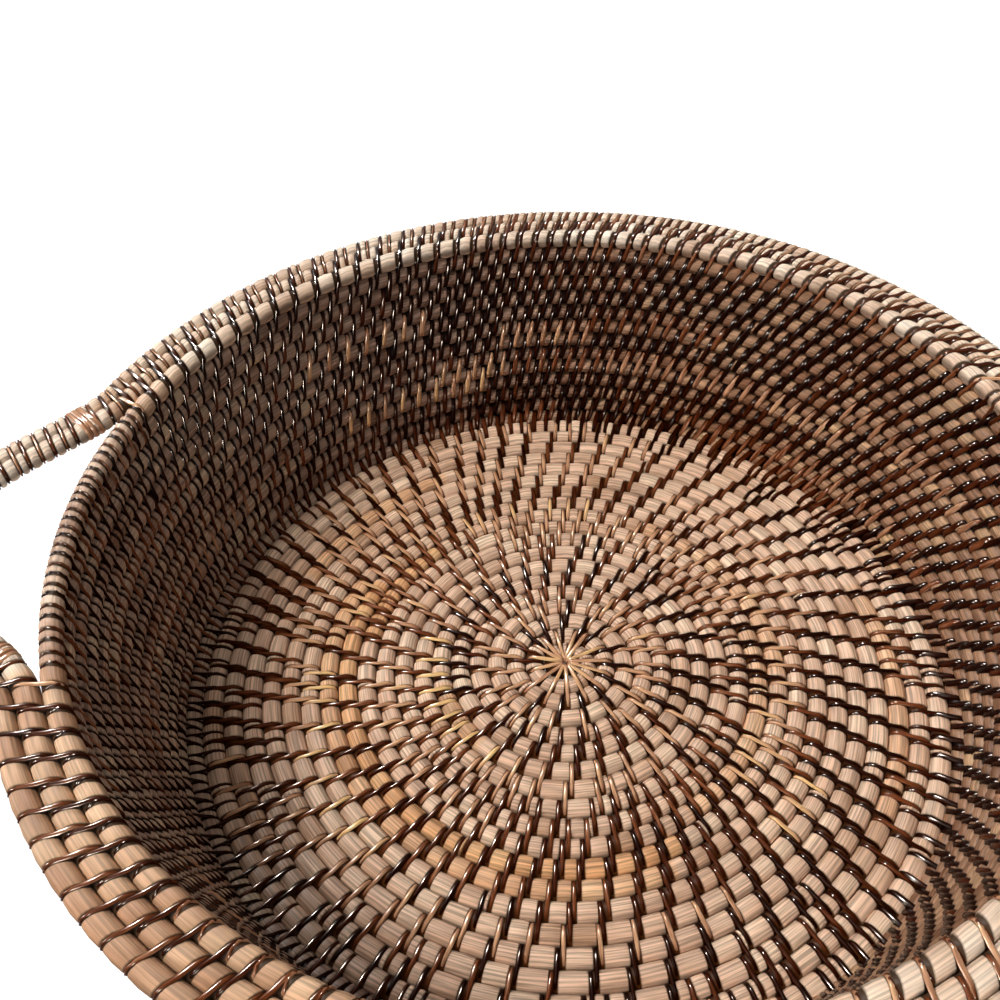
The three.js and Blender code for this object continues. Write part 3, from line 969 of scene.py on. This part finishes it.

# Cores of the hoops: round beside a handle's gap, and browner at the front on the left: a golden tint
# of the cane and painted shade
HOOP_END = 0.01 * MM
for row, part in enumerate(("inner", "middle", "outer")):
    length = hoop_length[row][1][-1]
    start = hoop_at(row, STEP_UP + HOOP_STAGGER * (row - 1))
    crossings = np.sort(np.mod(np.concatenate(hoop_crossings[row]) - start, length))
    crossings = np.concatenate([crossings[-1:] - length, crossings, crossings[:1] + length])
    widths = np.full(len(crossings), RIM_COVER * RIM_STRIP)
    along = ring_places(HOOP_END, length - HOOP_END, crossings, widths)
    angles = hoop_angle(row, along + start)
    middle, out = rim_line(angles, row)
    whole = np.ones(len(along))
    half = RIM_PITCH / 2 * whole
    up = np.array([[0, 0, 1.0]]) * whole[:, None]
    apart = 1 - smooth((off_handle(angles) - 0.8) / 0.1)
    near_free = (whole, apart, 0 * whole)[row]
    far_free = (apart, 0 * whole, whole)[row]
    # Painted shade: the hoops are darker at the front on the left
    shaded = (1 - apart) * smooth(-1.2 * np.cos(angles - math.radians(35)) - 0.1)
    gold = 0.5 * shaded
    fair = apart * (-2.5 if row == 0 else 1.5) + (1 - apart) * 0.8 - 3.2 * shaded
    lean = (WRAP_SLANT * apart + RIM_SLANT * (1 - apart)) / RIM_PITCH
    lie = (middle, out, up, half, half, near_free, far_free, gold, fair, lean)
    core(f"rim_core_{part}", lie, along, crossings, widths, RIM_BLOCK, HOOP_SIDES, whole, 1,
         rim_rattan_lit, [f"rim_hoop_{part}"])

# Camera where the photo was taken from, worked out from the floor's even spiral
camera_data = bpy.data.cameras.new("camera")
camera_data.lens = 37.68
camera_data.sensor_width = 36
camera = bpy.data.objects.new("camera", camera_data)
camera.matrix_world = Matrix((
    (0.99926, 0.03839, 0.0, -0.02518),
    (-0.02765, 0.71961, -0.69383, -0.25965),
    (-0.02664, 0.69331, 0.72014, 0.37610),
    (0, 0, 0, 1),
))
bpy.context.scene.collection.objects.link(camera)
bpy.context.scene.camera = camera

# Pale floor, white background and soft light from the left and above
bm = bmesh.new()
bmesh.ops.create_grid(bm, x_segments=1, y_segments=1, size=6)
bmesh.ops.translate(bm, verts=bm.verts, vec=(0, 0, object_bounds()[0].z))
floor_mesh = bpy.data.meshes.new("studio_floor")
bm.to_mesh(floor_mesh)
bm.free()
studio_floor = bpy.data.objects.new("studio_floor", floor_mesh)
bpy.context.scene.collection.objects.link(studio_floor)
paper = bpy.data.materials.new("white_paper")
paper.use_nodes = True
paper_tree = paper.node_tree
paper_shader = paper_tree.nodes["Principled BSDF"]
paper_shader.inputs["Base Color"].default_value = (0.9, 0.9, 0.9, 1)
paper_shader.inputs["Roughness"].default_value = 0.9
paper_shader.inputs["Specular IOR Level"].default_value = 0
paper_shader.inputs["Emission Color"].default_value = (1, 1, 1, 1)
paper_ray = add(paper_tree, "ShaderNodeLightPath").outputs["Is Camera Ray"]
paper_lift = add(paper_tree, "ShaderNodeMath", {"operation": "MULTIPLY"}, {0: paper_ray})
paper_lift.inputs[1].default_value = 0.25
paper_tree.links.new(paper_lift.outputs[0], paper_shader.inputs["Emission Strength"])
floor_mesh.materials.append(paper)

world = bpy.data.worlds.new("studio")
world.use_nodes = True
world_tree = world.node_tree
world_tree.nodes.clear()
path = add(world_tree, "ShaderNodeLightPath")
seen = add(world_tree, "ShaderNodeMath", {"operation": "MAXIMUM"},
           {0: path.outputs["Is Camera Ray"], 1: path.outputs["Is Glossy Ray"]}).outputs[0]
seen = add(world_tree, "ShaderNodeMath", {"operation": "MAXIMUM"},
           {0: seen, 1: path.outputs["Is Transmission Ray"]}).outputs[0]
level = add(world_tree, "ShaderNodeMapRange", {"To Min": 0.34, "To Max": 1.0}, {"Value": seen})
sky = add(world_tree, "ShaderNodeBackground", {"Color": (1, 1, 1, 1)},
          {"Strength": level.outputs["Result"]})
add(world_tree, "ShaderNodeOutputWorld", None, {"Surface": sky.outputs["Background"]})
bpy.context.scene.world = world

key = bpy.data.lights.new("key", "SUN")
key.energy = 3.0
key.angle = math.radians(22)
key_object = bpy.data.objects.new("key", key)
key_object.rotation_euler = (math.radians(8), math.radians(-31), 0)
bpy.context.scene.collection.objects.link(key_object)

# Small lamps that only glint on the strips: tilt and swing in degrees, and strength
for number, (tilt, swing, energy) in enumerate(((-40, -30, 90), (76, 0, 45), (-3, -72, 45))):
    glint = bpy.data.lights.new(f"glint_{number}", "SUN")
    glint.energy = energy
    glint.angle = math.radians(9)
    glint_object = bpy.data.objects.new(f"glint_{number}", glint)
    glint_object.rotation_euler = (math.radians(tilt), math.radians(swing), 0)
    glint_object.visible_diffuse = False
    bpy.context.scene.collection.objects.link(glint_object)
bpy.context.scene.view_settings.view_transform = "Standard"
